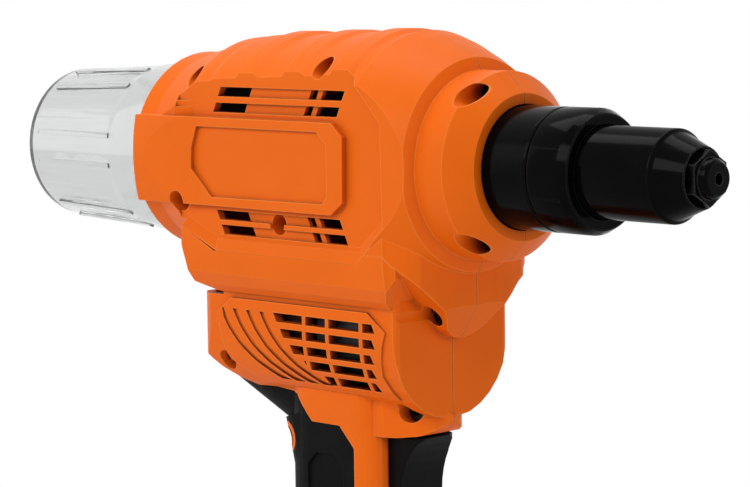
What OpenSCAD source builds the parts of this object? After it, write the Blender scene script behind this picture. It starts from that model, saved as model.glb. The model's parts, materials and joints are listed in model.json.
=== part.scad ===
// Battery rivet tool: a clamshell pistol housing round a ball-screw puller, with a slide-on battery.
// Pieces are drawn about the nose axis, x forward from the flange face, y to the left, z up,
// and then lifted so that the battery's resting face is at z = 0.

/* [Placement] */
// Height of the nose axis above the face that the battery rests on
axis_height = 240; // [232:1:250]
// How far the nose flange face lies ahead of the battery's centre
axis_forward = 57; // [52:1:62]

/* [Fits] */
// Wall thickness of the moulded housing
wall = 2.6; // [2.2:0.1:3]
// Radial gap of a running fit
run_gap = 0.05; // [0.03:0.01:0.08]
// Gap between pieces that lie face to face
seat_gap = 0.1; // [0.05:0.05:0.2]
// Gap round pieces that slide or press
slide_gap = 0.3; // [0.2:0.05:0.4]
// Width of the seam between the two housing halves
seam = 0.16; // [0.1:0.02:0.3]

/* [Barrel] */
// Largest radius of the barrel, at the crest of its foremost band
barrel_r = 41; // [40:0.25:43]
// Length of each stepped band on the barrel
band_len = 21.5; // [20:0.5:23]
// Height of the ridge along each band's front edge
ridge_h = 1.2; // [0.6:0.1:1.6]
// Half width across the flat sides that hold the vents
flat_w = 28.7; // [28.4:0.1:30]
// How far the barrel's sides stand proud of the flats
side_rise = 3.1; // [2.6:0.1:3.6]
// Radius of the collar round the collector
collar_r = 33; // [32.5:0.1:34]
// Distance from the flange face back to the rear rim
body_rear = 143; // [141:0.5:148]

/* [Nose flange] */
// Radius of the nose flange
flange_r = 28.5; // [28:0.1:29.5]
// Length of the nose flange
flange_len = 17.8; // [17:0.1:19]
// Radius of the flange's flat front face
flange_face_r = 22; // [21:0.1:23]

/* [Nose] */
// Radius of the adapter and the lock ring
nose_r = 18.5; // [18:0.1:19]
// Length of the adapter ahead of the flange
adapter_len = 16.8; // [16:0.1:18]
// Length of the lock ring
lock_len = 14.9; // [14.5:0.1:16]
// Radius of the tip sleeve
tip_r = 13.6; // [13.2:0.1:14]
// Distance from the flange to the end of the tip sleeve's straight part
tip_end = 58.3; // [57.5:0.1:60]
// Distance from the flange to the front rim of the tip sleeve's cone
cone_end = 67.7; // [67:0.1:69.5]
// Distance from the flange to the nosepiece's front face
nosepiece_end = 73.1; // [72.5:0.1:75]
// Radius of the mandrel bore in the nosepiece
mandrel_r = 1.7; // [1.4:0.05:1.8]

/* [Puller] */
// Pulling stroke of the ball screw
stroke = 25; // [20:0.5:26]
// Radius of the ball screw
screw_r = 9; // [8.6:0.1:9.2]
// Radius of the hollow through the ball screw
hollow_r = 3.8; // [3.2:0.1:4]
// Outer radius of the ball nut
nut_r = 13.6; // [13:0.1:14]

/* [Gears] */
// Module of the spur gears
spur_module = 1; // [0.98:0.01:1.02]
// Teeth of the gear on the ball nut
nut_teeth = 40; // [40:1:40]
// Teeth of the idler gear
idler_teeth = 27; // [27:1:27]
// Teeth of the output pinion on the planet carrier
pinion_teeth = 12; // [12:1:12]
// Module of the planetary gears
planet_module = 0.7; // [0.66:0.01:0.72]
// Face width of the spur gears
spur_face = 9.4; // [8:0.1:9.6]

/* [Motor housing] */
// Half width of the motor housing
motor_w = 25.4; // [25.2:0.1:26]
// Distance from the flange face back to the motor housing's front
motor_front = 30.1; // [29.5:0.1:30.5]
// Distance from the flange face back to the motor housing's rear
motor_rear = 124; // [122:0.5:125]
// How far the vent panel stands proud of the motor housing
panel_rise = 0.8; // [0.5:0.1:1]

/* [Grip] */
// Distance from the flange face back to the grip's front
grip_front = 49.5; // [48:0.5:51]
// Distance from the flange face back to the grip's rear
grip_rear = 94; // [92:0.5:96]
// Half width of the grip
grip_w = 17.5; // [17:0.25:18.5]
// Thickness of the rubber cover
rubber = 2; // [1.6:0.1:2.2]
// Pressing travel of the trigger
trigger_travel = 7; // [5:0.5:7.5]

/* [Collector] */
// Outer radius of the collector where it meets the collar
cup_front_r = 28; // [27.6:0.1:28.4]
// Outer radius of the collector's rear end
cup_rear_r = 25.4; // [24.8:0.1:26]
// Distance from the flange face back to the collector's end
cup_rear = 210; // [206:0.5:214]
// Wall thickness of the collector
cup_wall = 1.8; // [1.5:0.1:2.2]

/* [Battery] */
// Length of the battery
battery_l = 118; // [116:1:124]
// Width of the battery
battery_w = 74; // [72:1:78]
// Height of the battery below the foot
battery_h = 60; // [58:1:62]
// Radius of a cell
cell_r = 9.15; // [9:0.05:9.2]
// Room between the end of a cell and the case wall
cell_room = 2.1; // [1.5:0.1:2.5]
// Wall thickness of the battery case
case_wall = 2.4; // [2:0.1:2.6]

/* [Hidden] */
$fn = 96;

// Heights and stations that several pieces share, measured from the nose axis and the flange face
big = 400;
idler_z = -(nut_teeth + idler_teeth) / 2 * spur_module;
motor_z = idler_z - (idler_teeth + pinion_teeth) / 2 * spur_module;
foot_z = battery_h - axis_height;
foot_h = 22;
foot_top = foot_z + foot_h;
dome_x = -45.5;
side_w = flat_w + side_rise;
gear_front = -36.5;
gear_back = gear_front - spur_face;
case_split = gear_front + 1.5;
case_rear = -66;
bulkhead_x = 12 - body_rear;
bulkhead_t = 3;
screw_rear = -105;
stud_x = -98;
stud_r = 3;
guide_r = 11.9;
tube_r = 5;

// Screws through the housing along y: station, height, reach of the boss to either side,
// depth of the head's seat and end of the shank, both from the seam
flat_reach = flat_w - wall / 2;
foot_reach = battery_w / 2 - 7;
boss_r = 4;
function barrel_reach(z, drop) = min(side_w, sqrt(pow(barrel_r - drop, 2) - pow(z + boss_r, 2))) - wall / 2;
screws = [[-7, 21.9, 0, 5, 6], [-7, -21.9, 0, 5, 6], [-59, 29.2, barrel_reach(29.2, 1.8), 7, 15],
    [-120, 25.4, barrel_reach(25.4, 6.2), 7, 15], [-123.4, -14.3, flat_reach, 7, 15],
    [-78.3, -19.6, flat_reach, 7, 15], [-28, -45.5, 7.5, 5, 6], [-39, -76.3, 0, 5, 6],
    [-111, -65.6, 15, 7, 12], [-90, -89, 10, 7, 11], [-98, foot_z + 15.5, foot_reach, 7, 15],
    [-32, foot_z + 14, foot_reach, 7, 15]];
grip_screw = screws[9];
grip_boss_r = 4.9;
screw_head_r = 3;
screw_socket_r = 1.5;
screw_head_h = 2.6;
screw_shank_r = 1.95;
shank_room = 1.5;

function arc(c, r, a0, a1, n) = [for (i = [0:n]) let (a = a0 + (a1 - a0) * i / n) c + r * [cos(a), sin(a)]];
function both(half) = concat(half, [for (i = [len(half) - 1:-1:0]) [-half[i][0], half[i][1]]]);
function both_y(half) = concat(half, [for (i = [len(half) - 1:-1:0]) [half[i][0], -half[i][1]]]);

module at_axis() { translate([axis_forward, 0, axis_height]) children(); }
// Prism of an x-z outline between two values of y
module slab_y(points, y0, y1) {
    translate([0, y1, 0]) rotate([90, 0, 0]) linear_extrude(y1 - y0) polygon(points);
}
// Prism of a y-z outline between two values of x
module beam_x(points, x0, x1) {
    translate([x0, 0, 0]) rotate([90, 0, 90]) linear_extrude(x1 - x0) polygon(points);
}
module rod_x(x0, x1, r, z = 0) {
    translate([x0, 0, z]) rotate([0, 90, 0]) cylinder(r = r, h = x1 - x0);
}
module tube_x(x0, x1, r, bore, z = 0) {
    difference() {
        rod_x(x0, x1, r, z);
        rod_x(x0 - 1, x1 + 1, bore, z);
    }
}
module rod_y(x, z, y0, y1, r) {
    translate([x, y1, z]) rotate([90, 0, 0]) cylinder(r = r, h = y1 - y0, $fn = 48);
}
module box(lo, hi) { translate(lo) cube(hi - lo); }
// Solid turned about the nose axis from [station, radius] points
module turned(points) { rotate([0, 90, 0]) rotate_extrude() polygon([for (p = points) [p[1], p[0]]]); }
module mirrored_y() {
    children();
    mirror([0, 1, 0]) children();
}

// Outside of the barrel: collar, stepped bands, dome and nose flange
crest_drop = [0.2, 0.85, 1.4, 3.4];
function band_crest(k) = barrel_r - crest_drop[k];
function band_front(k) = dome_x - k * band_len;
// One band from the foot of the ridge behind it to the front edge of its own ridge
function band(k) = let (x0 = band_front(k + 1), x1 = band_front(k), r1 = band_crest(k), r0 = r1 - ridge_h)
    [[x0 + 2.5, r0 - 0.3], [x1 - 8, r0 + 0.1], [x1 - 6.7, r1], [x1, r1]];
// The rear band falls away to the collar
function rear_band() = [[-body_rear, 0], [-body_rear, collar_r - 0.7], [7 - body_rear, collar_r - 1.2],
    [12 - body_rear, collar_r + 0.2], [17 - body_rear, band_crest(3) - 3.3],
    [22 - body_rear, band_crest(3) - 2], [26.5 - body_rear, band_crest(3) - 0.3],
    [band_front(3) - 3, band_crest(3)], [band_front(3), band_crest(3)]];
prow_x = -20.3;
function dome() = [[dome_x + 2.5, band_crest(0) - ridge_h], [dome_x + 7, barrel_r - 0.7],
    [-33, barrel_r - 2.4], [-25, barrel_r - 5.8], [-flange_len - 1.6, flange_r + 3.9],
    [-flange_len, flange_r], [-6.8, flange_r], [0, flange_face_r], [0, 0]];
module barrel() {
    intersection() {
        turned(concat(rear_band(), band(2), band(1), band(0), dome()));
        box([-body_rear - 1, -side_w, -big], [1, side_w, big]);
    }
}

// Recess of the flat sides, with sloping edges round it
band_top = 13;
band_low = -15;
recess_rear = -124;
recess_low = -29.4;
shoulder_sink = 1.2;
ledge_top = -24.2;
lower_rise = 2;
recess_outline = [[recess_rear, band_top], [recess_rear, barrel_r + 5], [dome_x + 2, barrel_r + 5],
    [dome_x + 2, 28.5], [-29, 13.5], [-28.4, -17.6], [-41.4, recess_low],
    [-106.3, recess_low], [recess_rear, -21.2], [recess_rear, band_low]];
upper_shoulder = [[-body_rear - 1, band_top], [-110, band_top], [-106, barrel_r], [-body_rear - 1, barrel_r]];
lower_shoulder = [[-body_rear - 1, band_low], [-120, band_low], [-120, -barrel_r],
    [-body_rear - 1, -barrel_r]];
module side_recess() {
    mirrored_y() {
        slab_y(recess_outline, flat_w, big);
        slab_y(upper_shoulder, side_w - shoulder_sink, big);
        slab_y(lower_shoulder, side_w - shoulder_sink, big);
    }
}
// Sloping edge along p to q, rising from the floor of the recess through [height, run] steps
module edge_ramp(p, q, steps) {
    way = q - p;
    last = steps[len(steps) - 1];
    ramp = [for (t = steps) [flat_w + t[0], -t[1]]];
    translate([p[0], 0, p[1]]) rotate([0, -atan2(way[1], way[0]), 0])
        beam_x(concat([[flat_w - wall, 0], [flat_w, 0]], ramp, [[flat_w - wall, -last[1]]]), 0, norm(way));
}
module recess_ramps() {
    mirrored_y() {
        edge_ramp([recess_rear + 7, 18], [recess_rear + 7, 15.9], [[1, 7]]);
        edge_ramp([recess_rear + 7, 16], [recess_rear + 7, band_top - 1], [[1.8, 7]]);
        edge_ramp([-120.9, -19.1], [-104.6, -25.9], [[lower_rise - 0.05, 3.4]]);
        edge_ramp([-46, -28.8], [-30.75, -15], [[lower_rise - 0.05, 3.6]]);
        edge_ramp([-105.7, ledge_top], [-37, ledge_top], [[1.1, 1.3], [lower_rise, 5.1]]);
    }
}

// Raised band along the middle of each side, with the sunk panel in it, running back over the collar
frame_rise = 2.2;
panel_sink = 1.1;
belt_end = -110;
frame_rear = -118;
frame_outline = [[frame_rear, band_top], [-51.2, band_top], [-46.3, 8.8], [-46.6, -11], [-51.8, band_low],
    [frame_rear, band_low]];
panel_outline = [[-113.5, 10], [-57.5, 10], [-53.4, 6], [-53.4, -9.5], [-55.4, -11.8], [-107, -12.2],
    [-116.2, -3.6], [-116, 3]];
belt_round = 60;
belt_crown = [for (i = [0:8]) let (z = band_low + (band_top - band_low) * i / 8)
    [collar_r + 0.2 - z * z / 2 / belt_round, z]];
belt_plan = both_y([[-body_rear - 3, collar_r + 0.3], [5 - body_rear, collar_r + 0.2],
    [belt_end - 2, flat_w + frame_rise + 0.02], [belt_end, flat_w + frame_rise - 0.3]]);
module side_band() {
    difference() {
        union() {
            slab_y(frame_outline, -flat_w - frame_rise, flat_w + frame_rise);
            intersection() {
                beam_x(both(belt_crown), 0.2 - body_rear, belt_end);
                translate([0, 0, band_low - 1]) linear_extrude(band_top - band_low + 2) polygon(belt_plan);
            }
        }
        mirrored_y() slab_y(panel_outline, flat_w + frame_rise - panel_sink, big);
    }
}

// Lower body under the flats, and the prow under the flange
lower_z = -43.2;
lower_half = [[0, -12], [flat_w + lower_rise, -12], [flat_w + lower_rise, recess_low],
    [flat_w + 1.5, -36.5], [flat_w - 0.5, -40.3], [motor_w + 0.4, -42.6], [motor_w - 1, lower_z],
    [0, lower_z]];
lower_outline = [[-41.35, recess_low + 0.06], [-28.6, -17.7], [-27, -16.5], [-27, -33], [-32.5, lower_z],
    [-108.5, lower_z], [-118.8, -40], [-122.3, -28], [-121.8, -22.3], [-106.3, recess_low + 0.06]];
lower_plan = both_y([[-130, side_w + 1], [-31.5, side_w + 1], [-28.7, 29.6], [-27, 28]]);
module lower_body() {
    intersection() {
        beam_x(both(lower_half), -130, -25);
        slab_y(lower_outline, -big, big);
        translate([0, 0, lower_z - 1]) linear_extrude(40) polygon(lower_plan);
    }
}
prow_low = -53.2;
prow_rear = -62;
function prow_half(d) = [[0, 0], [side_w - 0.9 - d, 0], [side_w - 0.9 - d, -26], [29.3 - d, -28.5],
    [26.5 - d, -31.7 + 0.3 * d], [23.6 - d, -34.2 + 0.4 * d], [21.2 - d, -36.5 + d / 2],
    [18.5 - d, -38.8 + d / 2], [16 - d, -41 + d / 2], [13.3 - 0.9 * d, -43.3 + 0.6 * d],
    [10.5 - 0.8 * d, -46.5 + 0.7 * d], [8 - 0.6 * d, -50 + 0.9 * d], [5 - 0.4 * d, prow_low + 1.2 + d],
    [3 - 0.4 * d, prow_low + 0.4 + d], [0, prow_low + d]];
prow_side = [[prow_rear, -5], [prow_x, -5], [prow_x, -42.6], [-27, prow_low], [prow_rear, prow_low]];
prow_plan = both_y([[prow_rear, side_w + 1], [-31.5, side_w + 1], [-28.5, 29.8], [-26.5, 28], [-24.5, 25.8],
    [-22.3, 22], [-21.2, 16.5], [prow_x, 9]]);
module prow() {
    intersection() {
        beam_x(both(prow_half(0)), prow_rear, prow_x + 1);
        slab_y(prow_side, -big, big);
        translate([0, 0, prow_low - 1]) linear_extrude(1 - prow_low) polygon(prow_plan);
    }
}

// Motor housing, drawn in by d on every side
motor_low = motor_z - 26.2;
motor_shoulder = motor_z - 1;
function motor_half(d) = concat([[0, -38], [motor_w - d, -38]],
    [for (t = [0:12:84])
        [(motor_w - d) * cos(t), motor_shoulder - (motor_shoulder - motor_low - d) * sin(t)]],
    [[0, motor_low + d]]);
function motor_side(d) = let (rear = d - motor_rear, front = -motor_front - d)
    [[rear + 1.5, -44], [rear, -49], [rear, -57], [rear + 0.8, -60.5 + 0.1 * d],
    [rear + 2.4 - 0.1 * d, -63.6 + 0.3 * d], [rear + 5 - 0.2 * d, -66.6 + 0.5 * d],
    [rear + 8.4 - 0.35 * d, -69.3 + 0.7 * d], [rear + 12.5 - 0.5 * d, -71.8 + 0.8 * d],
    [rear + 17.5 - 0.65 * d, -74.2 + 0.9 * d], [rear + 24 - 0.8 * d, -76.7 + 0.95 * d],
    [33 - motor_rear, motor_low + d],
    [front - 1, motor_low + d], [front, motor_low + 1 + d], [front, -38], [-109, -38], [-109, -44]];
function motor_plan(d) = let (rear = d - motor_rear, front = -motor_front - d)
    both_y([[rear, 15], [rear + 0.7, 19 - 0.3 * d], [rear + 2.8 - 0.2 * d, 22.3 - 0.6 * d],
    [rear + 6 - 0.5 * d, motor_w - 1 - 0.85 * d], [rear + 10 - 0.8 * d, motor_w],
    [front - 2.2 + 0.6 * d, motor_w],
    [front - 0.7 + 0.2 * d, motor_w - 0.8 - 0.7 * d], [front, motor_w - 2.2 - 0.8 * d]]);
module motor_body(d) {
    intersection() {
        beam_x(both(motor_half(d)), -motor_rear - 1, -motor_front + 1);
        slab_y(motor_side(d), -big, big);
        translate([0, 0, motor_low - 1]) linear_extrude(70) polygon(motor_plan(d));
    }
}
vent_panel = [[-111.5, -49.7], [-104.8, -44.6], [-42.2, -44.4], [-34.5, -49.9], [-36, -54.5], [-37.6, -63.6],
    [-35.6, -71.4], [-97, -71.6], [-108.5, -64.5]];
module motor_case() {
    motor_body(panel_rise);
    intersection() {
        motor_body(0);
        slab_y(vent_panel, -big, big);
    }
    trigger_hood();
}
// Hood under the front of the motor housing, over the trigger
hood_low = -84.5;
hood_rear = -64;
hood_top = -72;
hood_plan = both_y([[hood_rear, 14.5], [-47, 14.5], [-42, 12], [-37, 9], [-33, 6], [-31, 3], [-30.2, 0.8]]);
module trigger_hood() {
    intersection() {
        slab_y([[hood_rear, hood_top], [hood_rear, hood_low], [-43, hood_low], [-37, hood_low + 0.7],
            [-33, hood_low + 2.5], [-31, hood_low + 4.5], [-30.2, hood_low + 6], [-30.2, hood_low + 7.2],
            [-31.5, hood_low + 8], [-31.5, hood_top]], -big, big);
        translate([0, 0, hood_low - 1]) linear_extrude(hood_top - hood_low + 2) polygon(hood_plan);
    }
}

// Grip, drawn in by d, with the web under the motor housing's rear
grip_rear_round = 16;
grip_front_round = 7;
function nose_plan(w, r, d, depth) = both_y(concat([[depth, w - d]], arc([r, w - r], r - d, 90, 180, 8)));
module web_leg(foot, tilt, length, w, d) {
    translate([foot[0], 0, foot[1]]) rotate([0, -tilt, 0])
        translate([0, 0, -8]) linear_extrude(length + 8) polygon(nose_plan(w, w - 3, d, 22));
}
web_foot = [-grip_rear, -96];
web_knee = [-2.8 - grip_rear, -85.5];
web_tip = -121;
function grip_plan(d) = both_y(concat(
    arc([-grip_rear + grip_rear_round, grip_w - grip_rear_round], grip_rear_round - d, 180, 90, 10),
    arc([-grip_front - grip_front_round, grip_w - grip_front_round], grip_front_round - d, 90, 0, 6)));
module grip_form(d) {
    translate([0, 0, foot_z + 4]) linear_extrude(-64 - foot_z - 4) polygon(grip_plan(d));
    intersection() {
        union() {
            web_leg(web_foot, 15, 12, grip_w - 0.6, d);
            web_leg(web_knee, 66, 26, grip_w - 3, d);
        }
        box([web_tip + d, -big, -110], [-60, big, -66]);
    }
}
cover_low = foot_top + 6;
function cover_outline(g) = [[-118, -66 + g], [-106, -72.8 + g], [-84 + g, -74.5 + g], [-76 + g, -82.4 + g],
    [-63.5 + g, -82.4 + g], [-57 + g, -89 + g], [-57 + g, cover_low + 14 - g], [-66, cover_low - g],
    [-118, cover_low - g]];

// Foot with the battery's slide inside
foot_l0 = -axis_forward - battery_l / 2;
foot_l1 = -axis_forward + battery_l / 2;
foot_w = battery_w / 2;
foot_round = 10;
foot_inset = 10.5;
function foot_plan(d) = both_y(concat(
    arc([foot_l0 + foot_round, foot_w - foot_round], foot_round - d, 180, 90, 6),
    arc([foot_l1 - foot_round, foot_w - foot_round], foot_round - d, 90, 0, 6)));
function foot_side(d) = [[foot_l0, foot_z], [foot_l0, foot_z + 13 - d], [foot_l0 + 17, foot_top - d],
    [-grip_front + 1, foot_top - d], [-8, foot_z + 12 - d], [foot_l1, foot_z + 8 - d], [foot_l1, foot_z]];
rail_w = battery_w / 2 - 12.5;
rail_head_w = battery_w / 2 - 7.5;
rail_lip = 3;
block_x = foot_l0 + wall + 4;
rail_head = 6;
module foot_form(d) {
    intersection() {
        slab_y(foot_side(d), -big, big);
        translate([0, 0, foot_z]) linear_extrude(foot_h) polygon(foot_plan(d));
    }
}
module rail_space() {
    box([block_x, -rail_w - slide_gap, foot_z - 1],
        [foot_l1 + 5, rail_w + slide_gap, foot_z + rail_lip + 1]);
    box([block_x, -rail_head_w - slide_gap, foot_z + rail_lip],
        [foot_l1 + 5, rail_head_w + slide_gap, foot_z + rail_lip + rail_head + 2 * slide_gap]);
}

// Everything hollow inside the housing
barrel_room = barrel_r - 2.5 - wall;
seal_bore = cup_front_r + 0.4;
module housing_room() {
    intersection() {
        turned([[bulkhead_x, 0], [bulkhead_x, collar_r - wall], [-112, barrel_room - 2],
            [dome_x, barrel_room], [-36, barrel_room - 1], [prow_x - wall, flange_r + 1],
            [prow_x - wall, 0]]);
        box([-big, -flat_w + wall, -big], [0, flat_w - wall, big]);
    }
    intersection() {
        beam_x(both(prow_half(wall)), -60, prow_x - wall);
        slab_y([for (p = prow_side) p - [wall, -wall]], -big, big);
        translate([-1.4 * wall, 0, prow_low]) linear_extrude(-prow_low) polygon(prow_plan);
        box([-big, -flat_w + wall, -60], [0, flat_w - wall, 0]);
    }
    beam_x(both([[0, -20], [flat_w - wall, -20], [flat_w - wall, -34], [motor_w - 3 - wall, -42],
        [motor_w - 3 - wall, -48], [0, -48]]), -108, -33.4);
    motor_body(panel_rise + wall);
    intersection() {
        grip_form(rubber + wall);
        box([-grip_rear, -big, foot_z], [-grip_front - wall, big, motor_low + 8]);
    }
    intersection() {
        box([foot_l0 + foot_inset, foot_inset - foot_w, foot_z + rail_lip + rail_head + 2],
            [foot_l1 - foot_inset, foot_w - foot_inset, foot_top - wall]);
        slab_y(foot_side(wall), -big, big);
    }
    rod_x(-body_rear - 5, bulkhead_x - bulkhead_t, seal_bore);
    rod_x(bulkhead_x - bulkhead_t - 1, bulkhead_x + 1, tube_r + slide_gap);
}

// Bosses and ribs that carry the screws, the motor and its rear bearing
stator_r = 18.5;
stator_x0 = -100;
stator_x1 = -79;
rear_bearing_r = 7;
module housing_ribs() {
    for (s = screws) if (s[2] > 0) rod_y(s[0], s[1], -s[2], s[2], boss_r);
    intersection() {
        union() {
            tube_x(stator_x0 + 4, stator_x0 + 7, stator_r + 4, stator_r + seat_gap, motor_z);
            tube_x(-motor_rear + panel_rise + wall - 1, -112, rear_bearing_r + 3, rear_bearing_r + run_gap,
                motor_z);
        }
        motor_body(panel_rise + wall / 2);
    }
}

// Vents in the flats and in the motor housing
vent_h = 3;
vent_lean = 0.47;
vent_mid = 19;
vent_rows = [21.1, 16.1, -17.9, -22.5];
vent_cells = [[-105.6, -91.6], [-64.3, -61], [-58.9, -48.6]];
function leaning(x0, x1, z0, z1, lean) =
    [[x0 + lean * z0, z0], [x1 + lean * z0, z0], [x1 + lean * z1, z1], [x0 + lean * z1, z1]];
// One row of leaning slots, with the shallow channel that joins them
module vent_row(z) {
    lean = sign(z) * vent_lean;
    z0 = z - vent_h / 2;
    z1 = z + vent_h / 2;
    mirrored_y() translate([-vent_lean * vent_mid, 0, 0]) {
        slab_y(leaning(vent_cells[0][0], vent_cells[2][1], z0, z1, lean), flat_w - 1, flat_w + 1.5);
        for (c = vent_cells) slab_y(leaning(c[0], c[1], z0, z1, lean), flat_w - wall - 1, flat_w + 1);
    }
}
// Height, rear end and front end of each row
motor_rows = [[-49.2, -84, -39.5], [-54, -81, -39.5], [-58.8, -77, -40.5], [-63.4, -71.5, -41],
    [-67.8, -64.5, -41.5]];
motor_slot = 2.8;
motor_lean = -0.5;
vent_bars = [-70.5, -60, -45];
vent_bar = 1.5;
module motor_vents() {
    mirrored_y() for (row = motor_rows) difference() {
        slab_y(leaning(row[1] - motor_lean * row[0], row[2] - motor_lean * row[0], row[0] - motor_slot / 2,
            row[0] + motor_slot / 2, motor_lean), 8, big);
        for (x = vent_bars) box([x - vent_bar / 2, 0, row[0] - 3], [x + vent_bar / 2, big, row[0] + 3]);
    }
}
groove_centre = [-46, -22];
groove_r = 51.2;
groove_pitch = 6.4;
groove_w = 1.7;
module motor_grooves() {
    difference() {
        intersection() {
            for (k = [0:3]) translate([-k * groove_pitch, 0, 0]) difference() {
                rod_y(groove_centre[0], groove_centre[1], -big, big, groove_r + groove_w / 2);
                rod_y(groove_centre[0], groove_centre[1], -big - 1, big + 1, groove_r - groove_w / 2);
            }
            slab_y([[-109, -48], [-84, -48], [-60, -69.5], [-90, -69.5], [-106, -63]], -big, big);
        }
        motor_body(panel_rise);
    }
}

module housing_holes() {
    for (s = screws) {
        rod_y(s[0], s[1], -big, -s[3], screw_head_r + slide_gap);
        rod_y(s[0], s[1], -s[3] - 1, s[4] + shank_room, screw_shank_r + run_gap);
    }
    rod_x(prow_x - wall - 1, -3 + seat_gap, nose_r);
    rod_x(-10, 1, nose_r + slide_gap);
    rod_x(bulkhead_x + 0.02, case_rear, guide_r + slide_gap);
    rod_x(rotor_rear - 0.5, -111, rear_bearing_r + run_gap, motor_z);
    for (z = vent_rows) vent_row(z);
    motor_vents();
    motor_grooves();
}
trigger_w = 9.5;
trigger_top = hood_low - slide_gap;
trigger_low = -123;
module trigger_slot() {
    box([-grip_front - wall - 6, -trigger_w - slide_gap, trigger_low - slide_gap],
        [-grip_front + 5, trigger_w + slide_gap, trigger_top + slide_gap]);
}
module housing() {
    difference() {
        union() {
            difference() {
                union() {
                    difference() {
                        barrel();
                        side_recess();
                    }
                    difference() {
                        prow();
                        side_recess();
                    }
                    lower_body();
                    recess_ramps();
                    side_band();
                    motor_case();
                    difference() {
                        grip_form(0);
                        slab_y(cover_outline(seat_gap), -big, big);
                    }
                    grip_form(rubber + seat_gap);
                    foot_form(0);
                }
                housing_room();
            }
            housing_ribs();
            intersection() {
                rod_y(grip_screw[0], grip_screw[1], -grip_w, grip_w, grip_boss_r);
                grip_form(0);
            }
        }
        housing_holes();
        trigger_slot();
        rail_space();
    }
}
module right_shell() {
    color("#f07020") at_axis() intersection() {
        housing();
        box([-big, -big, -big], [big, -seam / 2, big]);
    }
}
module left_shell() {
    color("#f07020") at_axis() intersection() {
        housing();
        box([-big, seam / 2, -big], [big, big, big]);
    }
}

// Soft covers of the grip, split like the shells
pad_outline = [[-74, -92], [-66, -92], [-62, -96], [-62, -122], [-66, -126], [-74, -126], [-78, -122],
    [-78, -96]];
pad_sink = 0.7;
module grip_cover() {
    difference() {
        intersection() {
            grip_form(0);
            slab_y(cover_outline(0), -big, big);
        }
        grip_form(rubber);
        motor_body(panel_rise - seat_gap);
        rod_y(grip_screw[0], grip_screw[1], -big, big, grip_boss_r + seat_gap);
        for (s = screws) rod_y(s[0], s[1], -big, big, boss_r + seat_gap);
        mirrored_y() slab_y(pad_outline, grip_w - pad_sink, big);
    }
}
module right_grip_cover() {
    color("#303034") at_axis() intersection() {
        grip_cover();
        box([-big, -big, -big], [big, -seam / 2, big]);
    }
}
module left_grip_cover() {
    color("#303034") at_axis() intersection() {
        grip_cover();
        box([-big, seam / 2, -big], [big, big, big]);
    }
}

module housing_screw(seat, end) {
    difference() {
        rod_y(0, 0, -seat - screw_head_h, -seat, screw_head_r);
        translate([0, -seat - screw_head_h + 1.6, 0]) rotate([90, 0, 0])
            cylinder(r = screw_socket_r, h = 3, $fn = 6);
    }
    rod_y(0, 0, -seat - 0.5, end, screw_shank_r);
}
module housing_screws() {
    color("#b8b8b4") at_axis() for (s = screws) translate([s[0], 0, s[1]]) housing_screw(s[3], s[4]);
}

// Nose: adapter screwed to the gear case cover, lock ring, sleeve and nosepiece
neck_r = 15;
adapter_bore = 12.4;
neck_rear = -25;
spigot_r = 16.2;
spigot_end = adapter_len + 3.2;
lip_x = adapter_len + 7.2;
sleeve_bore = 10.3;
case_r = 9.9;
module nose_adapter() {
    color("#8c8f94") at_axis() turned([[neck_rear, adapter_bore], [neck_rear, neck_r - run_gap],
        [-2.8, neck_r - run_gap], [-2.8, nose_r], [adapter_len - 0.6, nose_r], [adapter_len, nose_r - 0.6],
        [adapter_len, spigot_r], [spigot_end, spigot_r], [spigot_end, adapter_bore]]);
}
module lock_ring() {
    color("#8c8f94") at_axis() turned([[adapter_len + 0.02, spigot_r + seat_gap],
        [adapter_len + 0.02, nose_r - 0.6], [adapter_len + 0.6, nose_r],
        [adapter_len + lock_len - 2.9, nose_r], [adapter_len + lock_len, nose_r - 1.6],
        [adapter_len + lock_len, tip_r + 0.15], [lip_x, tip_r + 0.15], [lip_x, spigot_r + seat_gap]]);
}
hex_r = 8.2;
hex_x = cone_end - 1.1;
shank_r = 5;
shank_x = tip_end + 0.3;
module tip_sleeve() {
    color("#7c7f84") at_axis() turned([[spigot_end + 0.05, sleeve_bore],
        [spigot_end + 0.05, spigot_r - seat_gap], [lip_x - 0.05, spigot_r - seat_gap], [lip_x - 0.05, tip_r],
        [tip_end, tip_r], [tip_end + 0.7, tip_r - 1.1], [cone_end, hex_r + 0.7],
        [cone_end, hex_r + 0.2], [hex_x, hex_r + 0.2], [hex_x, shank_r + run_gap],
        [shank_x - 0.5, shank_r + run_gap], [shank_x - 0.5, sleeve_bore]]);
}
module nosepiece() {
    color("#9a9da2") at_axis() difference() {
        union() {
            rod_x(shank_x, hex_x + 1, shank_r);
            translate([hex_x + 0.02, 0, 0]) rotate([0, 90, 0]) cylinder(r = hex_r, h = 3.4, $fn = 6);
            turned([[hex_x + 1, 0], [hex_x + 1, 6.4], [nosepiece_end - 1.2, 5.6], [nosepiece_end, 4.6],
                [nosepiece_end, 0]]);
        }
        rod_x(shank_x - 1, nosepiece_end + 1, mandrel_r);
    }
}

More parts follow.
